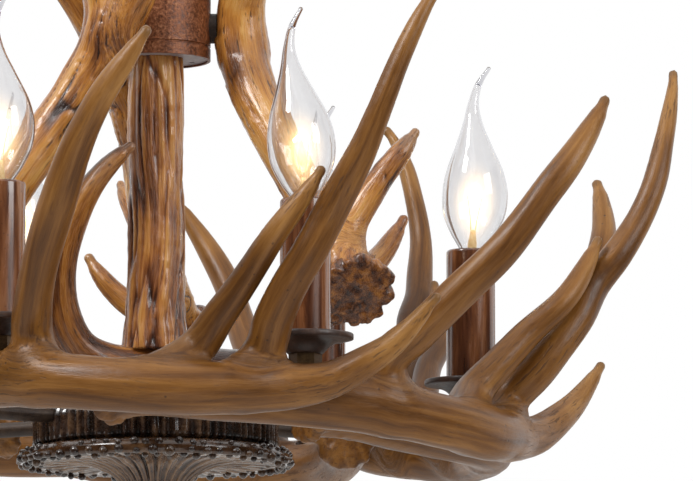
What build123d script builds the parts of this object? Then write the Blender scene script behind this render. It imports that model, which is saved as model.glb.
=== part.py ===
"""Antler chandelier with six candle lamps.

Millimetres, +Z up, -Y towards the viewer.  The origin is the middle of the bore
of the hanging loop.  Heights of the lamp itself are given from the ring datum,
the level of the candle sleeve tops, which lies ring_drop below the origin.
"""
from math import cos, pi, radians, sin, sqrt
import os

from build123d import *

os.makedirs("parts", exist_ok=True)

UP = (Align.CENTER, Align.CENTER, Align.MIN)
DOWN = (Align.CENTER, Align.CENTER, Align.MAX)

# ------------------------------------------------------------------ sizes
ring_drop = 228.0        # origin down to the ring datum
ring_lean = 3.2          # the antler ring hangs low on the right side, degrees
ring_nod = 1.2           # and low at the back, degrees
ring_pivot = -90.0       # height of the middle of the ring over the datum

antler_count = 6
antler_step = 360.0 / antler_count
upper_count = 3
upper_step = 360.0 / upper_count
lower_burr_radius = 15.5
upper_burr_radius = 19.5
section_guide = (0.35, 0.9, 0.25)  # no tine runs along this direction

candle_radius = 166.5    # ring on which the candles stand
drawn_candle_radius = 166.5  # where the drawn lower antler carries its candle
antler_outset = candle_radius - drawn_candle_radius
candle_foot = -70.5      # level of the candles' feet in the ring
candle_angles = [-29.0, 26.8, 86.8, 146.8, 206.8, 266.8]
sleeve_radius = 13.0
sleeve_wall = 1.6
sleeve_height = 70.5
bobeche_radius = 24.5
bobeche_height = 9.0
nut_height = 11.0
nipple_radius = 5.0
nipple_wall = 1.2
nipple_depth = 14.0      # below the candle seat
seat_radius = 13.0

# bent-tip bulb: height over the sleeve top, radius there, lean of the tip
bulb_rings = [
    (-3.0, 5.4, 0.0), (0.0, 6.6, 0.0), (8.0, 11.6, 0.0), (18.0, 16.2, 0.0), (29.0, 17.5, 0.0),
    (42.0, 15.4, -0.6), (56.0, 9.9, -2.0), (68.0, 5.4, -3.4), (79.0, 2.9, -3.8),
    (90.0, 1.9, -1.4), (98.0, 1.2, 3.2),
]
bulb_wall = 0.7
cap_radius = 5.9
cap_top = -3.0
cap_bottom = -19.0
socket_radius = 9.0
socket_wall = 2.5
socket_bottom = -40.0

tube_radius = 4.8
tube_bore = 3.6
can_radius = 28.9
can_bottom = 93.4
can_height = 66.0
can_wall = 1.5
column_top = can_bottom + 1.0
column_foot = -58.0
hub_radius = 66.0        # fluted collar
hub_top = -88.0
hub_bottom = -114.8
flute_count = 40
flute_radius = 2.2
rim_radius = 72.0        # medallion
rim_level = -121.0
gill_count = 30
gill_width = 1.2
bead_count = 30
bead_radius = 3.0
stem_radius = 15.0
stem_bottom = -139.0
spoke_radius = 4.0
spoke_level = -100.0
spoke_inner = 44.0
spoke_outer = 122.0 + antler_outset
spacer_radius = 8.0
spacer_face = can_radius + 3.0
bolt_level = 111.0
drawn_bolt_point = (31.9, 0.0, 111.0)  # where the drawn upper antler takes its bolt
bolt_radius = 3.0
bolt_depth = 14.0        # of the hole in the antler
bolt_seat_radius = 11.0
bore_room = 0.4          # between the middle tube and what is threaded on it
loop_bore = 8.0
loop_radius = 14.0
loop_width = 6.0

# ------------------------------------------------------------------ antlers
# Points of the middle line of each tine and its radius there.  The lower antler
# is drawn for the copy at the right, the upper antler likewise.
lower_beam = [
    (-24, -104, -99, 14.0), (-8, -114, -99, 12.6), (30, -134, -101, 13.6),
    (74, -147, -102, 14.6), (112, -141, -103, 14.2), (148, -118, -106, 13.6),
    (172, -88, -107, 13.4), (184, -58, -104, 12.4), (192, -32, -101, 11.3),
    (203, -14, -96, 9.8), (213, -2, -87, 8.2), (222, 9, -77, 6.6),
    (230, 17, -65, 4.6), (235, 22, -56, 2.6), (236.5, 24, -53, 1.0),
]
lower_tall_tine = [
    (120, -136, -101, 11.5), (118, -141, -80, 10.8), (132, -149, -66, 9.9),
    (151, -156, -45, 9.2), (173, -161, -21, 8.8), (195, -161, 12, 7.9),
    (207, -157, 31, 6.8), (216, -150, 48, 4.9), (220, -146, 57, 3.0),
    (221.5, -144, 61, 1.0),
]
lower_middle_tine = [
    (158, -96, -103, 11.0), (166, -70, -82, 9.5), (178, -66, -67, 8.3),
    (191, -61, -51, 7.5), (211, -58, -30, 6.4), (222, -49, -10, 4.8),
    (226, -44, 0, 2.8), (227.5, -42.5, 4, 1.0),
]
lower_back_tine = [
    (180, -54, -100, 11.0), (185, -44, -83, 10.4), (199, -47, -67, 9.9),
    (209, -46, -53, 9.4), (219, -42, -37, 9.0), (227, -36, -18, 8.6),
    (239, -34, -1, 7.9), (247, -31, 13, 7.2), (256, -27, 35, 6.1),
    (261, -20, 60, 5.2), (265, -9, 88, 3.8), (266, -3, 99, 2.4),
    (266, -1, 103, 1.0),
]
upper_beam = [
    (103, -82, -41, 15.5), (100, -73, -33, 13.5), (94, -62, -19, 12.8), (82, -50, 3, 12.4),
    (70, -39, 27, 12.2), (59, -29, 48, 12.2), (49, -16, 73, 12.8),
    (45, -5, 98, 13.4), (45, -4, 120, 12.8), (51, -14, 141, 11.4),
    (64, -27, 161, 9.8), (82, -39, 180, 8.0), (101, -47, 197, 5.6),
    (112, -50, 208, 3.0), (115, -51, 211, 1.0),
]
upper_fork_tine = [
    (46, 0, 98, 10.0), (46, 14, 118, 9.2), (50, 26, 136, 8.2), (60, 36, 153, 6.9),
    (75, 44, 169, 5.4), (90, 49, 184, 3.2), (94, 50, 188, 1.0),
]
upper_brow_tine = [
    (95, -64, -22, 8.8), (101, -62, -5, 8.2), (109, -60, 9, 7.7),
    (117, -59, 21, 7.2), (125, -58, 32, 6.4), (131, -57, 40, 5.0),
    (134.5, -56, 45, 2.8), (136, -56, 47, 1.0),
]
upper_low_tine = [
    (95, -64, -24, 7.6), (108, -54, -26, 7.2), (118, -44, -17, 6.2),
    (125, -37, -6, 4.6), (129, -34, 1, 2.6), (130.5, -33, 4, 1.0),
]
branch_beam = [
    (48, 12, -73, 12.0), (26, 6, -73, 13.6), (0, 0, -73, 14.6), (-22, -8, -72, 12.6),
    (-40, -16, -62, 10.0), (-49, -22, -43, 9.0), (-50, -26, -22, 8.4),
    (-44, -28, 2, 7.6), (-34, -29, 22, 6.4), (-22, -28, 36, 4.6), (-15.5, -28, 41.5, 2.6),
    (-13.5, -28, 43, 1.0),
]


def section_plane(points, k):
    """Plane square to the middle line at point k."""
    before = Vector(*points[max(k - 1, 0)][:3])
    after = Vector(*points[min(k + 1, len(points) - 1)][:3])
    run = (after - before).normalized()
    side = run.cross(Vector(*section_guide)).normalized()
    return Plane(origin=points[k][:3], x_dir=side, z_dir=run)


def ring_place(angle):
    """Turned about the middle of the ring, with its lean and nod."""
    lean = Pos(0, 0, ring_pivot) * Rot(0, ring_lean, 0) * Rot(-ring_nod, 0, 0)
    return Pos(0, 0, -ring_drop) * lean * Pos(0, 0, -ring_pivot) * Rot(0, 0, angle)


def candle_place(k):
    """Upright frame at the top of candle sleeve k."""
    a = radians(candle_angles[k])
    foot = Pos(candle_radius * sin(a), -candle_radius * cos(a), candle_foot)
    return Pos(*(ring_place(0) * foot).position) * Pos(0, 0, sleeve_height)


def lower_place(k):
    """Place of lower antler k, moved out with its candle."""
    a = radians(candle_angles[k])
    outset = Pos(antler_outset * sin(a), -antler_outset * cos(a), 0)
    return ring_place(0) * outset * Rot(0, 0, antler_step * (k - 1))


def lamp(z):
    """Frame on the middle axis, z above the ring datum."""
    return Pos(0, 0, z - ring_drop)


def spoke_place(k, distance):
    """Frame on the axis of spoke k, pointing outwards."""
    turned = lamp(spoke_level) * Rot(0, 0, antler_step * (k - 1))
    return turned * Pos(0, -distance, 0) * Rot(90, 0, 0)


def bolt_place(k, distance):
    """Frame on the axis of hub bolt k, pointing outwards."""
    turned = lamp(bolt_level) * Rot(0, 0, upper_step * (k - 1))
    return turned * Pos(distance, 0, 0) * Rot(0, 90, 0)


def wavy_outline(radius, depth, lobes, turn):
    """Points of a closed outline with uneven ridges."""
    points = []
    for i in range(2 * lobes):
        a = 2 * pi * i / (2 * lobes) + turn
        swell = depth * (1 if i % 2 else -1) * (0.75 + 0.35 * sin(5 * i + 1.3))
        points.append(((radius + swell) * cos(a), (radius + swell) * sin(a)))
    return points


# ------------------------------------------------------------------ lower antlers
with BuildPart() as lower_shape:
    for run in (lower_beam, lower_tall_tine, lower_middle_tine, lower_back_tine):
        for k in range(len(run)):
            with BuildSketch(section_plane(run, k)):
                Ellipse(run[k][3] * 1.04, run[k][3] * 0.96)
        loft()
    burr_plane = section_plane(lower_beam, 0)
    with BuildSketch(burr_plane):
        Circle(lower_burr_radius)
    extrude(amount=6.0)
    with BuildSketch(burr_plane.offset(1.0)):
        with PolarLocations(lower_burr_radius - 0.9, 13):
            Circle(3.4)
    extrude(amount=4.0)

# each beam carries the candle of the angle before it, and sits on one spoke
for k in range(antler_count):
    seat = candle_place(k) * Pos(0, 0, -sleeve_height - bobeche_height - nut_height)
    spoke = spoke_place(k, spoke_outer)
    with BuildPart() as lower_antler:
        with Locations(lower_place(k)):
            add(lower_shape.part)
        with Locations(seat):
            Cylinder(seat_radius, 16.0, align=UP, mode=Mode.SUBTRACT)
            Cylinder(nipple_radius, nipple_depth, align=DOWN, mode=Mode.SUBTRACT)
        with Locations(spoke):
            Cylinder(spoke_radius, 60.0, align=DOWN, mode=Mode.SUBTRACT)
    lower_antler.part.label = f"lower_antler_{k + 1}"
    export_step(lower_antler.part, f"parts/lower_antler_{k + 1}.step")

# ------------------------------------------------------------------ upper antlers
with BuildPart() as upper_shape:
    for run in (upper_beam, upper_fork_tine, upper_brow_tine, upper_low_tine):
        for k in range(len(run)):
            with BuildSketch(section_plane(run, k)):
                Ellipse(run[k][3] * 1.05, run[k][3] * 0.95)
        loft()
    burr_plane = section_plane(upper_beam, 0)
    with BuildSketch(burr_plane):
        Circle(upper_burr_radius)
    extrude(amount=9.0, taper=22.0)
    with BuildSketch(burr_plane.offset(1.0)):
        with PolarLocations(upper_burr_radius - 1.5, 12):
            Circle(4.2)
    extrude(amount=4.5)
    with Locations(Pos(*drawn_bolt_point) * Rot(0, 90, 0)):
        Cylinder(bolt_seat_radius, 30.0, align=DOWN, mode=Mode.SUBTRACT)
        Cylinder(bolt_radius, bolt_depth, align=UP, mode=Mode.SUBTRACT)

for k in range(upper_count):
    with BuildPart() as upper_antler:
        bolted = lamp(0) * Rot(0, 0, upper_step * (k - 1)) * Pos(spacer_face, 0, bolt_level)
        with Locations(bolted * Pos(*(-v for v in drawn_bolt_point))):
            add(upper_shape.part)
    upper_antler.part.label = f"upper_antler_{k + 1}"
    export_step(upper_antler.part, f"parts/upper_antler_{k + 1}.step")

# ------------------------------------------------------------------ branch under the column
branch_run = [(x, y, z - ring_drop, r) for x, y, z, r in branch_beam]
with BuildPart() as base_branch:
    for k in range(len(branch_run)):
        with BuildSketch(section_plane(branch_run, k)):
            Ellipse(branch_run[k][3] * 1.03, branch_run[k][3] * 0.97)
    loft()
    with Locations(lamp(column_foot)):
        Cylinder(22.0, 20.0, align=UP, mode=Mode.SUBTRACT)
    with Locations(lamp(hub_top)):
        Box(120.0, 80.0, 20.0, align=DOWN, mode=Mode.SUBTRACT)
        Cylinder(tube_radius + bore_room, 60.0, align=UP, mode=Mode.SUBTRACT)
base_branch.part.label = "base_branch"
export_step(base_branch.part, "parts/base_branch.step")

# ------------------------------------------------------------------ column
column_rings = [(column_foot, 18.2), (-46.0, 16.4), (-20.0, 15.2), (30.0, 14.4), (column_top, 14.6)]
with BuildPart() as column:
    for z, r in column_rings:
        with BuildSketch(lamp(z)):
            with BuildLine():
                Spline(*wavy_outline(r, 0.9, 11, 0.002 * z), periodic=True)
            make_face()
    loft()
    with Locations(lamp(column_foot)):
        Cylinder(tube_radius + bore_room, 200.0, align=UP, mode=Mode.SUBTRACT)
column.part.label = "column"
export_step(column.part, "parts/column.step")

# ------------------------------------------------------------------ hub can and its plate
with BuildPart() as hub_can:
    with Locations(lamp(can_bottom)):
        Cylinder(can_radius, can_height, align=UP)
    top_edge = hub_can.edges().group_by(Axis.Z)[-1]
    fillet(top_edge, 3.0)
    with Locations(lamp(can_bottom)):
        Cylinder(can_radius - can_wall, can_height - 2.0, align=UP, mode=Mode.SUBTRACT)
        Cylinder(tube_radius + bore_room, can_height, align=UP, mode=Mode.SUBTRACT)
    with BuildSketch(Plane.XZ):
        with Locations((can_radius, can_bottom + 6.8 - ring_drop)):
            Circle(0.7)
    revolve(axis=Axis.Z, mode=Mode.SUBTRACT)
    for k in range(upper_count):
        with Locations(bolt_place(k, 15.0)):
            Cylinder(bolt_radius, 20.0, align=UP, mode=Mode.SUBTRACT)
hub_can.part.label = "hub_can"
export_step(hub_can.part, "parts/hub_can.step")

with BuildPart() as hub_plate:
    with Locations(lamp(column_top)):
        Cylinder(can_radius - can_wall, 2.0, align=UP)
        Cylinder(tube_radius + bore_room, 2.0, align=UP, mode=Mode.SUBTRACT)
        with PolarLocations(22.0, 3, start_angle=30):
            Hole(1.5)
hub_plate.part.label = "hub_plate"
export_step(hub_plate.part, "parts/hub_plate.step")

# ------------------------------------------------------------------ middle tube and its nuts
tube_length = can_bottom + can_height + 14.0 - stem_bottom + 8.0
with BuildPart() as centre_tube:
    with Locations(lamp(stem_bottom - 8.0)):
        Cylinder(tube_radius, tube_length, align=UP)
        Cylinder(tube_bore, tube_length, align=UP, mode=Mode.SUBTRACT)
centre_tube.part.label = "centre_tube"
export_step(centre_tube.part, "parts/centre_tube.step")

with BuildPart() as tube_nuts:
    for z in (column_top + 2.0, can_bottom + can_height - 2.0 - 5.0):
        with BuildSketch(lamp(z)):
            RegularPolygon(9.5, 6)
            Circle(tube_radius, mode=Mode.SUBTRACT)
        extrude(amount=5.0)
tube_nuts.part.label = "tube_nuts"
export_step(tube_nuts.part, "parts/tube_nuts.step")

# ------------------------------------------------------------------ hanging loop
cap_bottom_level = can_bottom + can_height - ring_drop
neck_bottom = cap_bottom_level + 12.0
with BuildPart() as hang_loop:
    with BuildSketch(Plane.XZ.offset(-loop_width / 2)):
        Circle(loop_radius)
        with Locations((0, (neck_bottom + 8.0 - 6.0) / 2 - 2.0)):
            Rectangle(12.0, -neck_bottom - 12.0)
        Circle(loop_bore, mode=Mode.SUBTRACT)
    extrude(amount=loop_width)
    with Locations(Pos(0, 0, neck_bottom)):
        Cylinder(9.0, 10.0, align=UP)
    with BuildSketch(Plane.XZ):
        with BuildLine():
            Polyline((0, cap_bottom_level), (16.0, cap_bottom_level), (16.0, cap_bottom_level + 3.0))
            Spline((16.0, cap_bottom_level + 3.0), (11.5, cap_bottom_level + 6.0), (10.0, neck_bottom))
            Polyline((10.0, neck_bottom), (0, neck_bottom), (0, cap_bottom_level))
        make_face()
    revolve(axis=Axis.Z)
    with Locations(Pos(0, 0, cap_bottom_level)):
        Cylinder(tube_radius, 14.0, align=UP, mode=Mode.SUBTRACT)
hang_loop.part.label = "hang_loop"
export_step(hang_loop.part, "parts/hang_loop.step")

# ------------------------------------------------------------------ fluted collar, medallion, finial
with BuildPart() as base_hub:
    with BuildSketch(lamp(hub_bottom)):
        Circle(hub_radius)
        with PolarLocations(hub_radius + 0.6, flute_count):
            Circle(flute_radius, mode=Mode.SUBTRACT)
    extrude(amount=hub_top - hub_bottom - 8.0)
    with BuildSketch(lamp(hub_top - 8.0)):
        Circle(hub_radius - 4.0)
    extrude(amount=8.0, taper=35.0)
    with Locations(lamp(hub_bottom)):
        Cylinder(tube_radius + bore_room, 60.0, align=UP, mode=Mode.SUBTRACT)
    for k in range(antler_count):
        with Locations(spoke_place(k, spoke_inner)):
            Cylinder(spoke_radius, 60.0, align=UP, mode=Mode.SUBTRACT)
base_hub.part.label = "base_hub"
export_step(base_hub.part, "parts/base_hub.step")

with BuildPart() as spokes:
    for k in range(antler_count):
        with Locations(spoke_place(k, spoke_inner)):
            Cylinder(spoke_radius, spoke_outer - spoke_inner, align=UP)
spokes.part.label = "spokes"
export_step(spokes.part, "parts/spokes.step")

# the underside runs in a hollow curve from the rim to the stem, cut by gills
with BuildPart() as medallion:
    with BuildSketch(Plane.XZ):
        with BuildLine():
            Polyline(
                (tube_radius + bore_room, hub_bottom), (hub_radius, hub_bottom),
                (rim_radius, rim_level + 2.0), (rim_radius - 1.0, rim_level - 2.5),
                (50.0, rim_level - 0.5), (36.0, rim_level - 1.2),
                (25.0, rim_level - 5.0), (18.0, rim_level - 11.0), (stem_radius, stem_bottom),
                (tube_radius + bore_room, stem_bottom), (tube_radius + bore_room, hub_bottom),
            )
        make_face()
    revolve(axis=Axis.Z)
    with BuildSketch(Plane.XZ.offset(-gill_width / 2)):
        with BuildLine():
            Polyline(
                (rim_radius - 4.0, rim_level - 0.6), (50.0, rim_level + 1.1), (36.0, rim_level + 0.4),
                (25.0, rim_level - 3.4), (20.0, rim_level - 8.0), (24.0, stem_bottom),
                (rim_radius - 4.0, stem_bottom), (rim_radius - 4.0, rim_level - 0.6),
            )
        make_face()
    gill = extrude(amount=gill_width, mode=Mode.PRIVATE)
    with PolarLocations(0, gill_count):
        add(gill, mode=Mode.SUBTRACT)
    with Locations(Pos(0, 0, rim_level)):
        with PolarLocations(rim_radius - 0.5, bead_count):
            Sphere(bead_radius)
medallion.part.position = (0, 0, -ring_drop)
medallion.part.label = "medallion"
export_step(medallion.part, "parts/medallion.step")

with BuildPart() as finial:
    with BuildSketch(Plane.XZ):
        with BuildLine():
            Polyline((tube_radius, 0), (12.0, 0), (12.5, -3.0))
            Spline((12.5, -3.0), (9.0, -7.0), (8.0, -11.0), (5.0, -16.0), (0, -18.0))
            Polyline((0, -18.0), (0, -8.0), (tube_radius, -8.0), (tube_radius, 0))
        make_face()
    revolve(axis=Axis.Z)
finial.part.position = (0, 0, stem_bottom - ring_drop)
finial.part.label = "finial"
export_step(finial.part, "parts/finial.step")

# ------------------------------------------------------------------ hub bolts and spacers
inner_face = sqrt((can_radius - can_wall) ** 2 - 5.6 ** 2) - 0.2
with BuildPart() as hub_bolts:
    for k in range(upper_count):
        with Locations(bolt_place(k, inner_face - 4.0)):
            Cylinder(bolt_radius, spacer_face + bolt_depth - 2.0 - inner_face + 4.0, align=UP)
        with BuildSketch(Plane(bolt_place(k, inner_face - 4.0))):
            RegularPolygon(5.6, 6)
        extrude(amount=4.0)
hub_bolts.part.label = "hub_bolts"
export_step(hub_bolts.part, "parts/hub_bolts.step")

with BuildPart() as hub_spacers:
    for k in range(upper_count):
        with Locations(bolt_place(k, 25.0)):
            Cylinder(spacer_radius, spacer_face - 25.0, align=UP)
            Cylinder(bolt_radius, spacer_face - 25.0, align=UP, mode=Mode.SUBTRACT)
    with Locations(lamp(bolt_level)):
        Cylinder(can_radius, 40.0, mode=Mode.SUBTRACT)
hub_spacers.part.label = "hub_spacers"
export_step(hub_spacers.part, "parts/hub_spacers.step")

# ------------------------------------------------------------------ candles
floor_level = -sleeve_height
seat_level = floor_level - bobeche_height - nut_height

for k in range(antler_count):
    here = candle_place(k)
    with BuildPart() as bobeche:
        with BuildSketch(Plane.XZ):
            with BuildLine():
                Polyline((nipple_radius + 0.3, -bobeche_height), (9.0, -bobeche_height))
                Spline((9.0, -bobeche_height), (13.5, -bobeche_height + 4.5), (bobeche_radius, -1.5))
                Polyline((bobeche_radius, -1.5), (bobeche_radius, 1.2), (bobeche_radius - 1.4, 1.2))
                Polyline((bobeche_radius - 1.4, 1.2), (bobeche_radius - 2.6, 0), (nipple_radius + 0.3, 0))
                Line((nipple_radius + 0.3, 0), (nipple_radius + 0.3, -bobeche_height))
            make_face()
        revolve(axis=Axis.Z)
    bobeche.part.location = here * Pos(0, 0, floor_level)
    bobeche.part.label = f"bobeche_{k + 1}"
    export_step(bobeche.part, f"parts/bobeche_{k + 1}.step")

    with BuildPart() as candle_sleeve:
        with Locations(here):
            Cylinder(sleeve_radius, sleeve_height, align=DOWN)
        fillet(candle_sleeve.edges().group_by(Axis.Z)[-1], 1.4)
        with Locations(here):
            Cylinder(sleeve_radius - sleeve_wall, sleeve_height, align=DOWN, mode=Mode.SUBTRACT)
    candle_sleeve.part.label = f"candle_sleeve_{k + 1}"
    export_step(candle_sleeve.part, f"parts/candle_sleeve_{k + 1}.step")

    with BuildPart() as socket:
        with Locations(here * Pos(0, 0, socket_bottom)):
            Cylinder(socket_radius, -4.0 - socket_bottom, align=UP)
        with Locations(here * Pos(0, 0, cap_bottom)):
            Cylinder(socket_radius - socket_wall, 30.0, align=UP, mode=Mode.SUBTRACT)
        with Locations(here * Pos(0, 0, socket_bottom)):
            Cylinder(nipple_radius, 8.0, align=UP, mode=Mode.SUBTRACT)
    socket.part.label = f"socket_{k + 1}"
    export_step(socket.part, f"parts/socket_{k + 1}.step")

    with BuildPart() as bulb_cap:
        with Locations(here * Pos(0, 0, cap_bottom)):
            Cylinder(2.2, 2.0, align=UP)
            with Locations((0, 0, 2.0)):
                Cylinder(cap_radius, cap_top - cap_bottom - 2.0, align=UP)
        for z in (cap_bottom + 4.0, cap_bottom + 6.5, cap_bottom + 9.0, cap_bottom + 11.5):
            with Locations(here * Pos(0, 0, z)):
                Cylinder(cap_radius + 1.0, 0.9, mode=Mode.SUBTRACT)
                Cylinder(cap_radius - 0.5, 0.9)
    bulb_cap.part.label = f"bulb_cap_{k + 1}"
    export_step(bulb_cap.part, f"parts/bulb_cap_{k + 1}.step")

    with BuildPart() as bulb_glass:
        for z, r, x in bulb_rings:
            with BuildSketch(Plane(here * Pos(x, 0, z))):
                Circle(r)
        loft()
        for z, r, x in bulb_rings[:-2]:
            with BuildSketch(Plane(here * Pos(x, 0, z))):
                Circle(r - bulb_wall)
        loft(mode=Mode.SUBTRACT)
    bulb_glass.part.label = f"bulb_glass_{k + 1}"
    export_step(bulb_glass.part, f"parts/bulb_glass_{k + 1}.step")

    with BuildPart() as bulb_filament:
        with Locations(here * Pos(0, 0, cap_top)):
            Cylinder(2.4, 14.0, align=UP)
        for side in (-1, 1):
            with Locations(here * Pos(side * 1.2, 0, cap_top + 12.0) * Rot(0, side * 7.0, 0)):
                Cylinder(0.45, 22.0, align=UP)
        with Locations(here * Pos(0, 0, cap_top + 33.2) * Rot(0, 90, 0)):
            Cylinder(0.8, 8.6)
    bulb_filament.part.label = f"bulb_filament_{k + 1}"
    export_step(bulb_filament.part, f"parts/bulb_filament_{k + 1}.step")

with BuildPart() as candle_nuts:
    for k in range(antler_count):
        with BuildSketch(Plane(candle_place(k) * Pos(0, 0, seat_level))):
            RegularPolygon(8.6, 6)
            Circle(nipple_radius, mode=Mode.SUBTRACT)
        extrude(amount=nut_height)
candle_nuts.part.label = "candle_nuts"
export_step(candle_nuts.part, "parts/candle_nuts.step")

nipple_length = socket_bottom + 8.0 - seat_level + nipple_depth
with BuildPart() as candle_nipples:
    for k in range(antler_count):
        with Locations(candle_place(k) * Pos(0, 0, seat_level - nipple_depth)):
            Cylinder(nipple_radius, nipple_length, align=UP)
            Cylinder(nipple_radius - nipple_wall, nipple_length, align=UP, mode=Mode.SUBTRACT)
candle_nipples.part.label = "candle_nipples"
export_step(candle_nipples.part, "parts/candle_nipples.step")
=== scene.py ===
"""Looks of the antler chandelier, in metres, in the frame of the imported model.

Tables of points are in millimetres, with heights over the ring datum, as in the part's source.
"""

from math import cos, pi, radians, sin

import bpy
import numpy as np
from mathutils import Matrix, Vector


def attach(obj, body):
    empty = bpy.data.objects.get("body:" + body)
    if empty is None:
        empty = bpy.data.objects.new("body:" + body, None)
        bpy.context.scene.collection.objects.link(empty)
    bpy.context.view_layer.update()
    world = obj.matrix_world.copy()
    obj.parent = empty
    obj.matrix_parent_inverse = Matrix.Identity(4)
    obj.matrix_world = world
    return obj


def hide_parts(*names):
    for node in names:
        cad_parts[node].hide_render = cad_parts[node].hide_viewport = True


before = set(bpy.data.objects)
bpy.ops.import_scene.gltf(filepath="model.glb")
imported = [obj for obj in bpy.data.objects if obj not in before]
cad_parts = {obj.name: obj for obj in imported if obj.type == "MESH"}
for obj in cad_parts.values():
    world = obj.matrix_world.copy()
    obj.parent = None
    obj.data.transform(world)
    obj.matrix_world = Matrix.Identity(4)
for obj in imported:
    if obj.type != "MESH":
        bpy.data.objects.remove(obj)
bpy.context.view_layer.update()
MM = 0.001
RING_DROP = 228.0
knob_rng = np.random.default_rng(7)

# ------------------------------------------------------------------ point tables
# rows of (x, y, height, radius) along each middle line
LOWER_BEAM = [
    (-24, -104, -99, 14.0), (-8, -114, -99, 12.6), (30, -134, -101, 13.6),
    (74, -147, -102, 14.6), (112, -141, -103, 14.2), (148, -118, -106, 13.6),
    (172, -88, -107, 13.4), (184, -58, -104, 12.4), (192, -32, -101, 11.3),
    (203, -14, -96, 9.8), (213, -2, -87, 8.2), (222, 9, -77, 6.6),
    (230, 17, -65, 4.6), (235, 22, -56, 2.6), (236.5, 24, -53, 1.0),
]
LOWER_TALL = [
    (120, -136, -101, 11.5), (118, -141, -80, 10.8), (132, -149, -66, 9.9),
    (151, -156, -45, 9.2), (173, -161, -21, 8.8), (195, -161, 12, 7.9),
    (207, -157, 31, 6.8), (216, -150, 48, 4.9), (220, -146, 57, 3.0),
    (221.5, -144, 61, 1.0),
]
LOWER_MIDDLE = [
    (158, -96, -103, 11.0), (166, -70, -82, 9.5), (178, -66, -67, 8.3),
    (191, -61, -51, 7.5), (211, -58, -30, 6.4), (222, -49, -10, 4.8),
    (226, -44, 0, 2.8), (227.5, -42.5, 4, 1.0),
]
LOWER_BACK = [
    (180, -54, -100, 11.0), (185, -44, -83, 10.4), (199, -47, -67, 9.9),
    (209, -46, -53, 9.4), (219, -42, -37, 9.0), (227, -36, -18, 8.6),
    (239, -34, -1, 7.9), (247, -31, 13, 7.2), (256, -27, 35, 6.1),
    (261, -20, 60, 5.2), (265, -9, 88, 3.8), (266, -3, 99, 2.4),
    (266, -1, 103, 1.0),
]
UPPER_BEAM = [
    (104, -82, -41, 15.5), (101, -73, -33, 13.5), (96, -62, -19, 12.8), (86, -50, 3, 12.4),
    (74, -39, 27, 12.2), (63, -29, 48, 12.2), (52, -16, 73, 12.8),
    (46, -5, 98, 13.4), (45, -4, 120, 12.8), (51, -14, 141, 11.4),
    (64, -27, 161, 9.8), (82, -39, 180, 8.0), (101, -47, 197, 5.6),
    (112, -50, 208, 3.0), (115, -51, 211, 1.0),
]
UPPER_FORK = [
    (46, 0, 98, 10.0), (46, 14, 118, 9.2), (50, 26, 136, 8.2), (60, 36, 153, 6.9),
    (75, 44, 169, 5.4), (90, 49, 184, 3.2), (94, 50, 188, 1.0),
]
UPPER_BROW = [
    (95, -64, -22, 8.8), (101, -62, -5, 8.2), (109, -60, 9, 7.7),
    (117, -59, 21, 7.2), (125, -58, 32, 6.4), (131, -57, 40, 5.0),
    (134.5, -56, 45, 2.8), (136, -56, 47, 1.0),
]
UPPER_LOW = [
    (95, -64, -24, 7.6), (108, -54, -26, 7.2), (118, -44, -17, 6.2),
    (125, -37, -6, 4.6), (129, -34, 1, 2.6), (130.5, -33, 4, 1.0),
]
BRANCH = [
    (48, 12, -73, 12.0), (26, 6, -73, 13.6), (0, 0, -73, 14.6), (-22, -8, -72, 12.6),
    (-40, -16, -62, 10.0), (-49, -22, -43, 9.0), (-50, -26, -22, 8.4),
    (-44, -28, 2, 7.6), (-34, -29, 22, 6.4), (-22, -28, 36, 4.6), (-15.5, -28, 41.5, 2.6),
    (-13.5, -28, 43, 1.0),
]
# how far the beam, tall, middle and back tine tips of an antler stray from the drawn one
STRAYS = {
    2: ((0, 0, 9), (0, 0, 0), (0, 0, 4), (-6.5, 11.3, 0)),
    3: ((0, 0, 6), (6, 10.4, 0), (0, 0, 4), (0, 0, 4)),
}
UPPER_ANGLES = [-120.0, 0.0, 120.0]
CANDLE_RADIUS = 166.5
CANDLE_ANGLES = [-29.0, 26.8, 86.8, 146.8, 206.8, 266.8]
BULB_LEANS = [0.0, -3.0, 3.5, 1.5, -1.5, 0.0]
BULB_PIVOT = -11.0
SLEEVE_HEIGHT = 70.5
SLEEVE_RADIUS = 13.0
SLEEVE_BORE = 11.4
RING_PIVOT = 90.0
RING_LEAN = 3.2
RING_NOD = -1.2
# (height, radius, shift of the centre) up the glass
BULB_RINGS = [
    (-3.0, 5.4, 0.0), (0.0, 6.6, 0.0), (8.0, 11.6, 0.0), (18.0, 16.2, 0.0), (29.0, 17.5, 0.0),
    (42.0, 15.4, -0.6), (56.0, 9.9, -2.0), (68.0, 5.4, -3.4), (79.0, 2.9, -3.8),
    (90.0, 1.9, -1.4), (98.0, 1.2, 3.2),
]


# ------------------------------------------------------------------ places
def move(x, y, z):
    return Matrix.Translation((x * MM, y * MM, z * MM))


def turn(angle, axis):
    return Matrix.Rotation(radians(angle), 4, axis)


def ring_place(angle):
    """The whole ring hangs a little askew, about a point RING_PIVOT under its datum."""
    lean = move(0, 0, -RING_PIVOT) @ turn(RING_LEAN, "Y") @ turn(RING_NOD, "X") @ move(0, 0, RING_PIVOT)
    return move(0, 0, -RING_DROP) @ lean @ turn(angle, "Z")


def upper_place(k):
    return move(0, 0, -RING_DROP) @ turn(UPPER_ANGLES[k], "Z")


def candle_place(k):
    a = radians(CANDLE_ANGLES[k])
    foot = ring_place(0) @ (Vector((CANDLE_RADIUS * sin(a), -CANDLE_RADIUS * cos(a), -SLEEVE_HEIGHT)) * MM)
    return Matrix.Translation(foot) @ move(0, 0, SLEEVE_HEIGHT)


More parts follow.
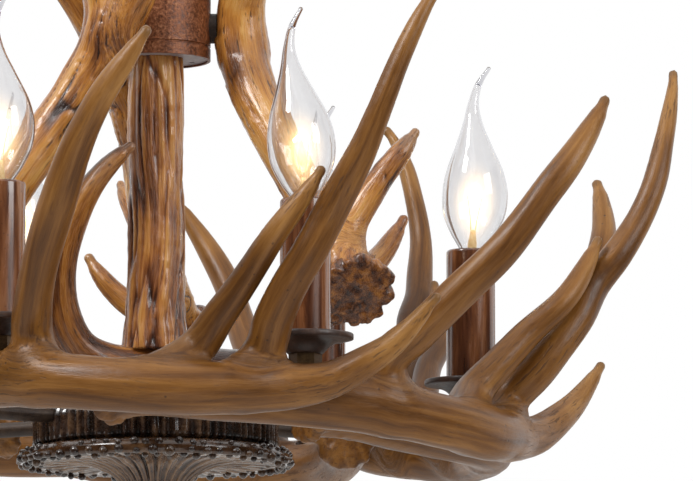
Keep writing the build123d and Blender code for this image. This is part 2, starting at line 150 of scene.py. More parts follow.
def bulb_place(k):
    return candle_place(k) @ move(0, 0, BULB_PIVOT) @ turn(BULB_LEANS[k], "Y") @ move(0, 0, -BULB_PIVOT)


def lamp(z):
    return move(0, 0, z - RING_DROP)


# ------------------------------------------------------------------ mesh helpers
def noise3(p, seed=0):
    """Smooth noise from -1 to 1 at points p, one cell per unit."""
    cell = np.floor(p).astype(np.int64)
    f = p - cell
    f = f * f * (3 - 2 * f)
    total = np.zeros(len(p))
    for dx in (0, 1):
        for dy in (0, 1):
            for dz in (0, 1):
                n = (cell[:, 0] + dx) * 374761393 + (cell[:, 1] + dy) * 668265263
                n = (n + (cell[:, 2] + dz) * 1442695041 + seed * 1013904223) & 0xFFFFFFFF
                n = ((n ^ (n >> 13)) * 1274126177) & 0xFFFFFFFF
                value = ((n ^ (n >> 16)) & 0xFFFF) / 32767.5 - 1
                w = np.abs(1 - dx - f[:, 0]) * np.abs(1 - dy - f[:, 1]) * np.abs(1 - dz - f[:, 2])
                total += w * value
    return total


def add_mesh(name, verts, faces, material, smooth=True, **attributes):
    """Mesh from points in millimetres, with named values at its points."""
    mesh = bpy.data.meshes.new(name)
    mesh.from_pydata((np.asarray(verts) * MM).tolist(), [], [tuple(int(i) for i in f) for f in faces])
    for key, values in attributes.items():
        values = np.asarray(values, np.float32)
        kind = "FLOAT_VECTOR" if values.ndim == 2 else "FLOAT"
        slot_name = "vector" if values.ndim == 2 else "value"
        mesh.attributes.new(key, kind, "POINT").data.foreach_set(slot_name, values.ravel())
    if smooth:
        mesh.shade_smooth()
    mesh.materials.append(material)
    mesh.update()
    return mesh


def moved(mesh, place):
    """A copy of mesh with its points already in place, so that its box is a close one."""
    copy = mesh.copy()
    copy.transform(place)
    return copy


def piece(name, mesh, place, body, nodes):
    obj = bpy.data.objects.new(name, mesh)
    bpy.context.scene.collection.objects.link(obj)
    obj.matrix_world = place
    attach(obj, body)
    if nodes:
        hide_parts(*nodes)
    return obj


def resample(points, step):
    """Points about every step along a smooth curve through the given ones."""
    p = np.array(points, float)
    h = np.linalg.norm(np.diff(p[:, :3], axis=0), axis=1)
    slope = np.diff(p, axis=0) / h[:, None]
    m = np.vstack([slope[:1], slope[:-1], slope[-1:]])
    m[1:-1] = (h[1:, None] * slope[:-1] + h[:-1, None] * slope[1:]) / (h[1:] + h[:-1])[:, None]
    out = []
    for i in range(len(p) - 1):
        n = max(2, int(round(h[i] / step)))
        t = (np.arange(n) / n)[:, None]
        a, b = p[i], p[i + 1]
        out.append(
            (2 * t**3 - 3 * t**2 + 1) * a + (t**3 - 2 * t**2 + t) * h[i] * m[i]
            + (3 * t**2 - 2 * t**3) * b + (t**3 - t**2) * h[i] * m[i + 1]
        )
    out.append(p[-1:])
    return np.vstack(out)


def run_field(run, lo, shape, h, band):
    """Distance to the tapered tube along run, on a grid, no more than band outside it."""
    field = np.full(shape, band, np.float32)
    for a, b in zip(run[:-1], run[1:]):
        reach = max(a[3], b[3]) + band
        first = np.maximum(np.floor((np.minimum(a, b)[:3] - reach - lo) / h), 0).astype(int)
        last = np.minimum(np.ceil((np.maximum(a, b)[:3] + reach - lo) / h) + 1, shape).astype(int)
        axes = [lo[i] + np.arange(first[i], last[i]) * h - a[i] for i in range(3)]
        x, y, z = axes[0][:, None, None], axes[1][None, :, None], axes[2][None, None, :]
        ab = (b - a)[:3]
        t = np.clip((x * ab[0] + y * ab[1] + z * ab[2]) / max(ab @ ab, 1e-9), 0, 1)
        d = np.sqrt((x - t * ab[0]) ** 2 + (y - t * ab[1]) ** 2 + (z - t * ab[2]) ** 2)
        d -= a[3] + (b[3] - a[3]) * t
        part = tuple(slice(f, l) for f, l in zip(first, last))
        np.minimum(field[part], d, out=field[part])
    return field


def smooth_min(a, b, k):
    h = np.maximum(k - np.abs(a - b), 0) / k
    return np.minimum(a, b) - h * h * k / 4


def sample(field, lo, h, p):
    """Grid values at points p, by linear interpolation."""
    g = (p - lo) / h
    cell = np.clip(np.floor(g).astype(int), 0, np.array(field.shape) - 2)
    f = g - cell
    total = np.zeros(len(p))
    for dx in (0, 1):
        for dy in (0, 1):
            for dz in (0, 1):
                w = np.abs(1 - dx - f[:, 0]) * np.abs(1 - dy - f[:, 1]) * np.abs(1 - dz - f[:, 2])
                total += w * field[cell[:, 0] + dx, cell[:, 1] + dy, cell[:, 2] + dz]
    return total


def slope_of(field, lo, h, p):
    g = np.stack([
        sample(field, lo, h, p + d) - sample(field, lo, h, p - d) for d in np.eye(3) * h
    ], 1)
    return g / np.maximum(np.linalg.norm(g, axis=1), 1e-9)[:, None]


def surface_net(field, lo, h):
    """Quad mesh of the zero surface of a grid field."""
    inside = field < 0
    n = np.array(field.shape)
    corners = np.array([(i, j, k) for i in (0, 1) for j in (0, 1) for k in (0, 1)])
    count = np.zeros(n - 1, np.int8)
    for i, j, k in corners:
        count += inside[i:n[0] - 1 + i, j:n[1] - 1 + j, k:n[2] - 1 + k]
    cells = np.argwhere((count > 0) & (count < 8))
    index = np.full(n - 1, -1, np.int64)
    index[tuple(cells.T)] = np.arange(len(cells))
    values = np.stack([field[tuple((cells + c).T)] for c in corners], 1)
    total, hits = np.zeros((len(cells), 3)), np.zeros(len(cells))
    for a in range(8):
        for b in range(a + 1, 8):
            if np.abs(corners[a] - corners[b]).sum() != 1:
                continue
            va, vb = values[:, a], values[:, b]
            cross = (va < 0) != (vb < 0)
            t = np.where(cross, va / np.where(cross, va - vb, 1), 0)
            total += (corners[a] + t[:, None] * (corners[b] - corners[a])) * cross[:, None]
            hits += cross
    verts = lo + (cells + total / hits[:, None]) * h
    quads = []
    for axis in range(3):
        u, v = (axis + 1) % 3, (axis + 2) % 3
        low = [slice(None)] * 3
        high = [slice(None)] * 3
        low[axis], high[axis] = slice(0, n[axis] - 1), slice(1, n[axis])
        edges = np.argwhere(inside[tuple(low)] != inside[tuple(high)])
        keep = (edges[:, u] > 0) & (edges[:, v] > 0) & (edges[:, u] < n[u] - 1) & (edges[:, v] < n[v] - 1)
        edges = edges[keep]
        eu, ev = np.eye(3, dtype=int)[u], np.eye(3, dtype=int)[v]
        around = [index[tuple((edges - s).T)] for s in (0 * eu, eu, eu + ev, ev)]
        quad = np.stack(around, 1)
        solid = inside[tuple(edges.T)]
        quads.append(np.where(solid[:, None], quad, quad[:, ::-1]))
    return verts, np.vstack(quads)


def run_frames(run):
    """Directions along a run, and two across it that don't spin."""
    along = np.gradient(run[:, :3], axis=0)
    along /= np.linalg.norm(along, axis=1)[:, None]
    side = np.cross(along[0], (0.35, 0.9, 0.25))
    sides = []
    for t in along:
        side = side - t * (side @ t)
        side /= np.linalg.norm(side)
        sides.append(side)
    return along, np.array(sides), np.cross(along, np.array(sides))


def run_places(run, p):
    """For each point: gap to the run's surface, distance along it, and the offset across it."""
    _, side, over = run_frames(run)
    lengths = np.concatenate([[0], np.cumsum(np.linalg.norm(np.diff(run[:, :3], axis=0), axis=1))])
    best = np.full(len(p), 1e9)
    s, u, v = np.zeros(len(p)), np.zeros(len(p)), np.zeros(len(p))
    for i in range(len(run) - 1):
        a, b = run[i], run[i + 1]
        ab = (b - a)[:3]
        t = np.clip(((p - a[:3]) @ ab) / (ab @ ab), 0, 1)
        off = p - a[:3] - t[:, None] * ab
        gap = np.linalg.norm(off, axis=1) - (a[3] + (b[3] - a[3]) * t)
        near = gap < best
        best = np.where(near, gap, best)
        s = np.where(near, lengths[i] + t * (lengths[i + 1] - lengths[i]), s)
        u = np.where(near, off @ side[i], u)
        v = np.where(near, off @ over[i], v)
    return best, s, u, v, lengths[-1]


GRID = 1.4
BAND = 13.0  # how far from a tine its distance is worked out
MARGIN = 9.0  # room round the antler in the grid
STRETCH = 14.0  # length along a tine that counts as one unit of grain
BLUNT = 2.7  # least radius, at the tips
TIP_LENGTH = 55.0


def antler_mesh(name, tables, material, relief, burr=None, seat=None, seed=0):
    """Antler grown as one skin over its tines, with its relief and the values its colours use."""
    h, band = GRID, BAND
    runs = [resample(t, 5.0) for t in tables]
    for run in runs:
        run[:, 3] = np.maximum(run[:, 3], BLUNT)
    every = np.vstack(runs)
    lo = (every[:, :3] - every[:, 3:]).min(0) - MARGIN
    shape = tuple(int(x) for x in np.ceil(((every[:, :3] + every[:, 3:]).max(0) + MARGIN - lo) / h) + 1)
    field = run_field(runs[0], lo, shape, h, band)
    tines = None
    for run in runs[1:]:
        own = run_field(run, lo, shape, h, band)
        tines = own if tines is None else smooth_min(tines, own, 2.5)
    if tines is not None:
        field = smooth_min(field, tines, 10.0)
    if burr:
        radius, knobs, knob, ring = burr
        along, side, over = (d[0] for d in run_frames(runs[0]))
        start = runs[0][0, :3]
        wobble = np.random.default_rng(seed + 3)
        for row in range(2):
            for i in range(knobs):
                a = 2 * pi * (i + 0.5 * row) / knobs + wobble.uniform(-0.12, 0.12)
                out = side * cos(a) + over * sin(a)
                r = knob * wobble.uniform(0.75, 1.1)
                c = start + along * (ring + 3.2 * row) + out * (radius - 1.0 * row)
                dot = run_field(np.array([[*c, r], [*(c + along * 0.5), r]]), lo, shape, h, band)
                field = smooth_min(field, dot, 2.2)
    axes = [lo[i] + np.arange(shape[i]) * h for i in range(3)]
    if burr:
        cut = -1.0 - sum(
            (ax - q).reshape([-1 if i == j else 1 for j in range(3)]) * d
            for i, (ax, q, d) in enumerate(zip(axes, start, along))
        )
        field = np.maximum(field, cut.astype(np.float32))
    if seat:
        cx, cy, cz, cr = seat
        wall = np.sqrt((axes[0][:, None] - cx) ** 2 + (axes[1][None, :] - cy) ** 2) - cr
        cut = np.maximum(wall[:, :, None], (cz - axes[2])[None, None, :])
        field = np.maximum(field, -cut.astype(np.float32))
    verts, quads = surface_net(field, lo, h)
    for _ in range(2):
        verts -= slope_of(field, lo, h, verts) * sample(field, lo, h, verts)[:, None] * 0.9
    normal = slope_of(field, lo, h, verts)
    gaps, grains, tips, starts = [], [], [], []
    for j, run in enumerate(runs):
        gap, s, u, v, length = run_places(run, verts)
        gaps.append(gap)
        grains.append(np.stack([u + 41.0 * j, v, s / STRETCH + 7.0 * j], 1))
        tips.append(np.clip(1 - (length - s) / TIP_LENGTH, 0, 1))
        starts.append(s if j == 0 else s + 90.0)
    gaps = np.array(gaps)
    weight = np.exp(-(gaps - gaps.min(0)) / 1.5)
    weight /= weight.sum(0)
    grain = sum(w[:, None] * g for w, g in zip(weight, grains))
    tip = sum(w * t for w, t in zip(weight, tips))
    start = sum(w * s for w, s in zip(weight, starts))
    order = np.sort(gaps, axis=0)
    crotch = np.zeros(len(verts))
    if len(runs) > 1:
        crotch = np.exp(-np.maximum(order[1] - order[0], 0) / 7.0)
    ridge, push = relief(verts, grain, tip, start, crotch, seed)
    verts = verts + normal * push[:, None]
    return add_mesh(
        name, verts, quads, material, grain=grain, tip=tip, crotch=crotch, ridge=ridge, start=start
    )


def lower_relief(p, grain, tip, start, crotch, seed):
    """Soft channels along the tines, slow swells, and pearls near the burr."""
    groove = noise3(grain * (0.10, 0.10, 0.22), seed) * 0.75
    groove = groove + noise3(grain * (0.3, 0.3, 0.5), seed + 1) * 0.25
    swell = noise3(p / 24.0, seed + 2)
    near = np.exp(-start / 34.0)
    pearl = np.maximum(noise3(p / 4.2, seed + 3) - 0.1, 0) * near
    nick = np.minimum(noise3(grain * (0.3, 0.3, 1.6), seed + 5) + 0.5, 0) * (0.25 + crotch)
    calm = 1 - 0.6 * tip
    push = (0.95 * groove + 1.0 * nick) * calm + 0.5 * swell * calm + 1.5 * pearl
    return groove + 2.2 * nick, push


def upper_relief(p, grain, tip, start, crotch, seed):
    """Deeper bark-like cracks and knobs that fade up the tines."""
    groove = noise3(grain * (0.2, 0.2, 0.45), seed) * 0.55
    groove = groove + noise3(grain * (0.38, 0.38, 1.1), seed + 1) * 0.45
    rough = np.clip(0.55 + 0.9 * noise3(p / 34.0, seed + 4), 0.12, 1.0) * (1 - 0.8 * tip)
    crack = -np.maximum(0.22 - np.abs(noise3(grain * (0.17, 0.17, 0.6), seed + 6)), 0) * 5.0
    near = np.exp(-start / 30.0)
    knob = np.maximum(noise3(p / 4.6, seed + 3), 0) * (near + 0.35 * rough)
    push = 0.75 * groove * rough + 0.85 * crack * rough + 1.5 * knob + 0.4 * noise3(p / 21.0, seed + 2)
    return groove + crack * rough + 0.7 * knob, push


# ------------------------------------------------------------------ materials
class Graph:
    """Short calls for the nodes of one material."""

    def __init__(self, name):
        self.material = bpy.data.materials.new(name)
        self.material.use_nodes = True
        self.tree = self.material.node_tree
        self.shader = next(n for n in self.tree.nodes if n.type == "BSDF_PRINCIPLED")

    def node(self, kind, **settings):
        node = self.tree.nodes.new(kind)
        for key, value in settings.items():
            setattr(node, key, value)
        return node

    def link(self, value, socket):
        if hasattr(value, "is_output"):
            self.tree.links.new(value, socket)
        else:
            socket.default_value = value

    def value(self, name):
        return self.node("ShaderNodeAttribute", attribute_name=name).outputs["Fac"]

    def vector(self, name):
        return self.node("ShaderNodeAttribute", attribute_name=name).outputs["Vector"]

    def own(self):
        return self.node("ShaderNodeTexCoord").outputs["Object"]

    def math(self, op, a, b=0.0, clamp=False):
        node = self.node("ShaderNodeMath", operation=op, use_clamp=clamp)
        self.link(a, node.inputs[0])
        self.link(b, node.inputs[1])
        return node.outputs[0]

    def place(self, vector, scale=(1, 1, 1), shift=0.0):
        """A vector scaled, and shifted differently on each object."""
        mapping = self.node("ShaderNodeMapping")
        self.link(vector, mapping.inputs["Vector"])
        mapping.inputs["Scale"].default_value = scale
        if shift:
            random = self.node("ShaderNodeObjectInfo").outputs["Random"]
            self.link(self.math("MULTIPLY", random, shift), mapping.inputs["Location"])
        return mapping.outputs[0]

    def noise(self, vector, scale, detail=3.0, rough=0.55, warp=0.0):
        node = self.node("ShaderNodeTexNoise")
        self.link(vector, node.inputs["Vector"])
        node.inputs["Scale"].default_value = scale
        node.inputs["Detail"].default_value = detail
        node.inputs["Roughness"].default_value = rough
        node.inputs["Distortion"].default_value = warp
        return node.outputs["Fac"]

    def cells(self, vector, scale, feature="F1"):
        node = self.node("ShaderNodeTexVoronoi", feature=feature)
        self.link(vector, node.inputs["Vector"])
        node.inputs["Scale"].default_value = scale
        return node.outputs["Distance"]

    def span(self, value, low, high, to_low=0.0, to_high=1.0):
        node = self.node("ShaderNodeMapRange", interpolation_type="SMOOTHSTEP")
        self.link(value, node.inputs["Value"])
        for key, v in (("From Min", low), ("From Max", high), ("To Min", to_low), ("To Max", to_high)):
            node.inputs[key].default_value = v
        return node.outputs[0]

    def ramp(self, value, *stops):
        node = self.node("ShaderNodeValToRGB")
        self.link(value, node.inputs["Fac"])
        elements = node.color_ramp.elements
        while len(elements) < len(stops):
            elements.new(0.5)
        for element, (at, colour) in zip(elements, stops):
            element.position = at
            element.color = (*colour, 1)
        return node.outputs["Color"]

    def mix(self, share, a, b, kind="MIX"):
        node = self.node("ShaderNodeMix", data_type="RGBA", blend_type=kind)
        self.link(share, node.inputs[0])
        for value, socket in ((a, node.inputs[6]), (b, node.inputs[7])):
            self.link((*value, 1) if isinstance(value, tuple) else value, socket)
        return node.outputs[2]

    def bump(self, height, strength, distance, under=None):
        node = self.node("ShaderNodeBump")
        node.inputs["Strength"].default_value = strength
        node.inputs["Distance"].default_value = distance * MM
        self.link(height, node.inputs["Height"])
        if under:
            self.link(under, node.inputs["Normal"])
        return node.outputs[0]

    def finish(self, colour, rough, normal=None, **constants):
        self.link(colour, self.shader.inputs["Base Color"])
        self.link(rough, self.shader.inputs["Roughness"])
        if normal:
            self.link(normal, self.shader.inputs["Normal"])
        for key, value in constants.items():
            self.shader.inputs[key.replace("_", " ")].default_value = value
        return self.material


def tan_antler():
    g = Graph("antler_tan")
    grain = g.place(g.vector("grain"), shift=90.0)
    own = g.place(g.own(), shift=3.0)
    hair = g.noise(grain, 2.1, 4.0, 0.6, 0.2)
    streak = g.noise(grain, 0.2, 3.0, 0.55, 0.5)
    patch = g.noise(own, 13.0, 2.0, 0.5, 0.3)
    tone = g.math("ADD", g.math("MULTIPLY", streak, 0.5), g.math("MULTIPLY", hair, 0.16))
    tone = g.math("ADD", tone, g.math("MULTIPLY", g.value("ridge"), 0.05))
    tone = g.math("ADD", tone, g.math("MULTIPLY", patch, 0.34))
    # paler towards the tips, the antler's own colour; the lowered tone away from the tips is partly painted
    # shade for the darker beams
    tone = g.math("ADD", tone, g.span(g.value("tip"), 0.0, 0.4, -0.05, 0.10))
    colour = g.ramp(
        tone, (0.34, (0.10, 0.036, 0.006)), (0.44, (0.175, 0.068, 0.012)),
        (0.55, (0.26, 0.112, 0.024)), (0.68, (0.37, 0.178, 0.048)), (0.82, (0.49, 0.275, 0.10)),
    )
    # painted shade: darker where two tines meet, in the crotches
    colour = g.mix(g.span(g.value("crotch"), 0.5, 1.0, 0.0, 0.35), colour, (0.10, 0.044, 0.014))
    fleck = g.noise(g.place(grain, (1.0, 1.0, 1.5)), 0.62, 3.0, 0.65, 0.5)
    fleck = g.math("MULTIPLY", g.span(fleck, 0.56, 0.64), g.span(patch, 0.46, 0.60))
    scratch = g.noise(g.place(grain, (1.0, 1.0, 0.6)), 1.0, 3.0, 0.6, 0.6)
    scratch = g.math("MULTIPLY", g.span(scratch, 0.66, 0.74), g.span(patch, 0.40, 0.5, 0.15, 0.8))
    fleck = g.math("MAXIMUM", fleck, scratch)
    colour = g.mix(g.math("MULTIPLY", fleck, 0.72), colour, (0.07, 0.028, 0.009))
    pit = g.span(g.cells(own, 190.0), 0.07, 0.17, 1.0, 0.0)
    pit = g.math("MULTIPLY", pit, g.span(g.noise(own, 37.0, 1.0), 0.56, 0.66))
    colour = g.mix(g.math("MULTIPLY", pit, 0.7), colour, (0.04, 0.018, 0.01))
    colour = g.mix(g.span(g.value("tip"), 0.9, 1.0, 0.0, 0.5), colour, (0.13, 0.07, 0.03))
    rough = g.math("ADD", g.span(hair, 0.3, 0.7, 0.3, 0.42), g.math("MULTIPLY", fleck, 0.2))
    height = g.math("ADD", g.math("MULTIPLY", hair, 0.35), g.math("MULTIPLY", streak, 0.8))
    height = g.math("SUBTRACT", height, g.math("MULTIPLY", g.math("ADD", fleck, pit), 0.35))
    return g.finish(
        colour, rough, g.bump(height, 0.5, 0.8),
        Coat_Weight=0.08, Coat_Roughness=0.2, Specular_IOR_Level=0.33,
    )


def amber_antler(name, shade):
    """Glossy amber antler; a greater shade makes it darker."""
    g = Graph(name)
    grain = g.place(g.vector("grain"), shift=90.0)
    own = g.place(g.own(), shift=3.0)
    hair = g.noise(grain, 1.5, 4.0, 0.6, 0.3)
    streak = g.noise(grain, 0.2, 3.0, 0.6, 0.6)
    patch = g.noise(own, 15.0, 3.0, 0.55, 0.4)
    ridge = g.value("ridge")
    tone = g.math("ADD", g.math("MULTIPLY", streak, 0.5), g.math("MULTIPLY", hair, 0.16))
    tone = g.math("ADD", tone, g.math("MULTIPLY", patch, 0.4))
    tone = g.math("ADD", tone, g.math("MULTIPLY", ridge, 0.07))
    # painted shade: darker towards the burr end, on the burr and the lower beam
    tone = g.math("SUBTRACT", tone, g.span(g.value("start"), 0.0, 40.0, shade + 0.17, shade))
    colour = g.ramp(
        tone, (0.33, (0.04, 0.012, 0.005)), (0.41, (0.14, 0.045, 0.012)),
        (0.48, (0.33, 0.12, 0.022)), (0.57, (0.52, 0.22, 0.040)), (0.72, (0.66, 0.36, 0.10)),
    )
    crack = g.span(ridge, -1.05, -0.55, 1.0, 0.0)
    colour = g.mix(g.math("MULTIPLY", crack, 0.9), colour, (0.02, 0.009, 0.006))
    grey = g.math("MULTIPLY", g.span(g.value("tip"), 0.3, 0.8), g.span(patch, 0.42, 0.55))
    colour = g.mix(g.math("MULTIPLY", grey, 0.55), colour, (0.26, 0.17, 0.11))
    line = g.span(g.noise(g.place(grain, (1.0, 1.0, 1.3)), 0.55, 3.0, 0.6, 0.7), 0.6, 0.67)
    colour = g.mix(g.math("MULTIPLY", line, 0.75), colour, (0.035, 0.012, 0.007))
    rough = g.span(hair, 0.3, 0.7, 0.2, 0.34)
    height = g.math("ADD", g.math("MULTIPLY", hair, 0.5), g.math("MULTIPLY", streak, 1.1))
    height = g.math("SUBTRACT", height, g.math("MULTIPLY", line, 0.4))
    return g.finish(colour, rough, g.bump(height, 0.6, 1.1), Coat_Weight=0.4, Coat_Roughness=0.14)


def bark_column():
    g = Graph("column_bark")
    grain = g.vector("grain")
    own = g.own()
    hair = g.noise(grain, 0.8, 4.0, 0.6, 0.3)
    flow = g.noise(grain, 0.17, 3.0, 0.6, 0.5)
    patch = g.noise(own, 22.0, 2.0, 0.6, 0.5)
    ridge = g.value("ridge")
    tone = g.math("ADD", g.math("MULTIPLY", hair, 0.26), g.math("MULTIPLY", flow, 0.4))
    tone = g.math("ADD", tone, g.math("MULTIPLY", patch, 0.28))
    tone = g.math("ADD", g.math("ADD", tone, g.math("MULTIPLY", ridge, 0.1)), 0.04)
    colour = g.ramp(
        tone, (0.34, (0.03, 0.009, 0.004)), (0.42, (0.12, 0.036, 0.013)),
        (0.49, (0.33, 0.115, 0.028)), (0.56, (0.56, 0.24, 0.055)), (0.68, (0.70, 0.40, 0.13)),
    )
    height = g.math("ADD", g.math("MULTIPLY", hair, 1.0), g.math("MULTIPLY", flow, 0.8))
    return g.finish(
        colour, g.span(hair, 0.3, 0.7, 0.18, 0.36), g.bump(height, 0.75, 1.1),
        Coat_Weight=0.6, Coat_Roughness=0.1,
    )


def resin(name, dark, mid, pale, scale=60.0, rough=(0.2, 0.4), gloss=0.6):
    """Dark cast resin: mottled, worn paler on what stands proud."""
    g = Graph(name)
    own = g.own()
    patch = g.noise(own, scale, 4.0, 0.6, 0.4)
    fine = g.noise(own, scale * 9, 3.0, 0.6)
    tone = g.math("ADD", g.math("MULTIPLY", patch, 0.75), g.math("MULTIPLY", fine, 0.3))
    tone = g.math("ADD", tone, g.math("MULTIPLY", g.value("ridge"), 0.12))
    colour = g.ramp(tone, (0.36, dark), (0.56, mid), (0.8, pale))
    return g.finish(
        colour, g.span(fine, 0.3, 0.7, *rough), g.bump(fine, 0.4, 0.5), Coat_Weight=gloss, Coat_Roughness=0.12
    )


def rust(name):
    g = Graph(name)
    own = g.own()
    patch = g.noise(own, 42.0, 3.0, 0.6, 0.3)
    speck = g.noise(own, 620.0, 3.0, 0.7)
    tone = g.math("ADD", g.math("MULTIPLY", speck, 0.75), g.math("MULTIPLY", patch, 0.35))
    colour = g.ramp(
        tone, (0.38, (0.04, 0.012, 0.005)), (0.52, (0.16, 0.050, 0.018)),
        (0.62, (0.29, 0.10, 0.038)), (0.75, (0.44, 0.21, 0.10)),
    )
    return g.finish(colour, g.span(speck, 0.35, 0.65, 0.3, 0.52), g.bump(speck, 0.5, 0.5), Metallic=0.25)


def sleeve_wood():
    g = Graph("sleeve_wood")
    own = g.place(g.own(), scale=(1, 1, 0.09), shift=0.4)
    grain = g.noise(own, 260.0, 4.0, 0.6, 0.5)
    broad = g.noise(own, 60.0, 2.0, 0.5, 0.6)
    tone = g.math("ADD", g.math("MULTIPLY", grain, 0.5), g.math("MULTIPLY", broad, 0.5))
    colour = g.ramp(
        tone, (0.36, (0.035, 0.010, 0.004)), (0.48, (0.11, 0.034, 0.012)),
        (0.57, (0.22, 0.078, 0.026)), (0.7, (0.36, 0.16, 0.065)),
    )
    dots = g.span(g.cells(g.own(), 330.0), 0.08, 0.2, 1.0, 0.0)
    colour = g.mix(g.math("MULTIPLY", dots, 0.45), colour, (0.03, 0.012, 0.008))
    return g.finish(
        colour, g.span(grain, 0.3, 0.7, 0.16, 0.3), g.bump(grain, 0.3, 0.3),
        Coat_Weight=0.8, Coat_Roughness=0.06,
    )


def metal(name, dark, pale, scale, metallic, rough):
    g = Graph(name)
    own = g.own()
    patch = g.noise(own, scale, 4.0, 0.6, 0.3)
    fine = g.noise(own, scale * 14, 3.0, 0.6)
    tone = g.math("ADD", g.math("MULTIPLY", patch, 0.6), g.math("MULTIPLY", fine, 0.4))
    colour = g.ramp(tone, (0.38, dark), (0.66, pale))
    return g.finish(colour, g.span(fine, 0.3, 0.7, *rough), g.bump(fine, 0.25, 0.2), Metallic=metallic)


def clear_glass():
    """Thin clear glass that darkens where the eye looks along its wall, with a little dust."""
    g = Graph("clear_glass")
    dust = g.noise(g.own(), 240.0, 3.0)
    tint = g.mix(g.span(dust, 0.3, 0.7, 0.0, 0.5), (0.97, 0.965, 0.96), (0.94, 0.935, 0.935))
    veil = g.node("ShaderNodeVolumeAbsorption")
    veil.inputs["Color"].default_value = (0.74, 0.74, 0.77, 1)
    veil.inputs["Density"].default_value = 420.0
    out = next(n for n in g.tree.nodes if n.type == "OUTPUT_MATERIAL")
    g.tree.links.new(veil.outputs[0], out.inputs["Volume"])
    return g.finish(tint, g.span(dust, 0.4, 0.8, 0.0, 0.03), Transmission_Weight=1.0, IOR=1.46)


HAZE_HEIGHT = 25.5
HAZE_REACH = 15.5
HAZE_SQUASH = 0.62


def lamp_haze():
    """Warm light that hangs round the filament, fading towards the glass."""
    g = Graph("lamp_haze")
    g.tree.nodes.clear()
    space = g.node("ShaderNodeMapping")
    g.link(g.own(), space.inputs["Vector"])
    space.inputs["Location"].default_value = (0.0, 0.0, -HAZE_HEIGHT * MM * HAZE_SQUASH)
    space.inputs["Scale"].default_value = (1.0, 1.0, HAZE_SQUASH)
    far = g.node("ShaderNodeVectorMath", operation="LENGTH")
    g.link(space.outputs[0], far.inputs[0])
    near = g.node("ShaderNodeMapRange")
    g.link(far.outputs["Value"], near.inputs["Value"])
    for key, v in (("From Min", 0.0), ("From Max", HAZE_REACH * MM), ("To Min", 1.0), ("To Max", 0.0)):
        near.inputs[key].default_value = v
    power = g.math("MULTIPLY", g.math("POWER", near.outputs[0], 2.4), 260.0)
    glow = g.node("ShaderNodeEmission")
    glow.inputs["Color"].default_value = (1.0, 0.70, 0.34, 1)
    g.link(power, glow.inputs["Strength"])
    g.link(glow.outputs[0], g.node("ShaderNodeOutputMaterial").inputs["Volume"])
    return g.material


def hot_wire():
    g = Graph("glow")
    up = g.value("height")
    hot = g.span(up, 0.2, 0.6)
    colour = g.ramp(g.noise(g.own(), 900.0, 2.0), (0.3, (0.9, 0.62, 0.3)), (0.7, (1.0, 0.8, 0.5)))
    g.link(g.mix(hot, (1.0, 0.62, 0.2), (1.0, 0.86, 0.5)), g.shader.inputs["Emission Color"])
    g.link(g.span(hot, 0.0, 1.0, 0.25, 9.0), g.shader.inputs["Emission Strength"])
    return g.finish(colour, 0.3)


def floor_paint():
    g = Graph("floor_paint")
    cloud = g.noise(g.own(), 1.2, 2.0)
    colour = g.ramp(cloud, (0.3, (0.80, 0.80, 0.79)), (0.7, (0.84, 0.84, 0.83)))
    return g.finish(colour, 0.7)


def curtain_cloth():
    g = Graph("curtain_cloth")
    weave = g.noise(g.own(), 400.0, 2.0)
    colour = g.ramp(weave, (0.3, (0.05, 0.05, 0.05)), (0.7, (0.08, 0.08, 0.08)))
    return g.finish(colour, 0.9)


TAN = tan_antler()
AMBER = amber_antler("antler_amber", -0.02)
BRANCH_SKIN = amber_antler("branch_amber", 0.07)
BARK = bark_column()
DARK = resin("dark_resin", (0.006, 0.003, 0.002), (0.026, 0.011, 0.006), (0.13, 0.07, 0.035), gloss=0.9)
GILL = resin(
    "medallion_resin", (0.008, 0.004, 0.002), (0.065, 0.027, 0.010), (0.20, 0.105, 0.045),
    42.0, (0.12, 0.24), 0.5,
)
DISH = resin(
    "dish_paint", (0.018, 0.009, 0.007), (0.06, 0.03, 0.02), (0.16, 0.09, 0.06),
    90.0, (0.34, 0.52), 0.15,
)
RUST = rust("rust_paint")
SLEEVE = sleeve_wood()
GLASS = clear_glass()
HAZE = lamp_haze()
WIRE = hot_wire()
BRASS = metal("brass", (0.35, 0.22, 0.08), (0.78, 0.58, 0.28), 70.0, 0.9, (0.25, 0.4))
NUT = metal("nut_brass", (0.05, 0.026, 0.012), (0.20, 0.12, 0.05), 70.0, 0.6, (0.35, 0.5))
BLACK = metal("black_plastic", (0.012, 0.012, 0.012), (0.05, 0.05, 0.05), 90.0, 0.0, (0.4, 0.6))
PALE = metal("pale_steel", (0.36, 0.33, 0.36), (0.62, 0.58, 0.60), 55.0, 0.1, (0.4, 0.55))
STEEL = metal("dark_steel", (0.022, 0.012, 0.008), (0.085, 0.05, 0.03), 80.0, 0.2, (0.4, 0.55))

# ------------------------------------------------------------------ lower antlers
SEAT_LEVEL = -SLEEVE_HEIGHT - 20.0
SEAT_RADIUS = 13.0
# burrs: ring radius, knobs in a row, knob radius, distance of the first row from the end
LOWER_BURR = (14.4, 13, 3.3, 1.2)
UPPER_BURR = (17.8, 13, 4.0, 1.0)


def strayed(points, base, tip, curve):
    """The points, carried by base at the first of them and by tip at the last."""
    last = len(points) - 1
    carried = []
    for k, (x, y, z, r) in enumerate(points):
        share = curve(k, last)
        dx, dy, dz = (b + (t - b) * share for b, t in zip(base, tip))
        carried.append((x + dx, y + dy, z + dz, r))
    return carried


def lower_tables(k):
    still = (0, 0, 0)
    beam, tall, middle, back = STRAYS.get(k, (still, still, still, still))
    half = tuple(0.45 * v for v in beam)

    def even(i, last):
        return i / last

    def late(i, last):
        return min(1.0, i / 6.0) ** 2

    return [
        strayed(LOWER_BEAM, still, beam, late),
        strayed(LOWER_TALL, half, tall, even),
        strayed(LOWER_MIDDLE, beam, middle, even),
        strayed(LOWER_BACK, beam, back, even),
    ]


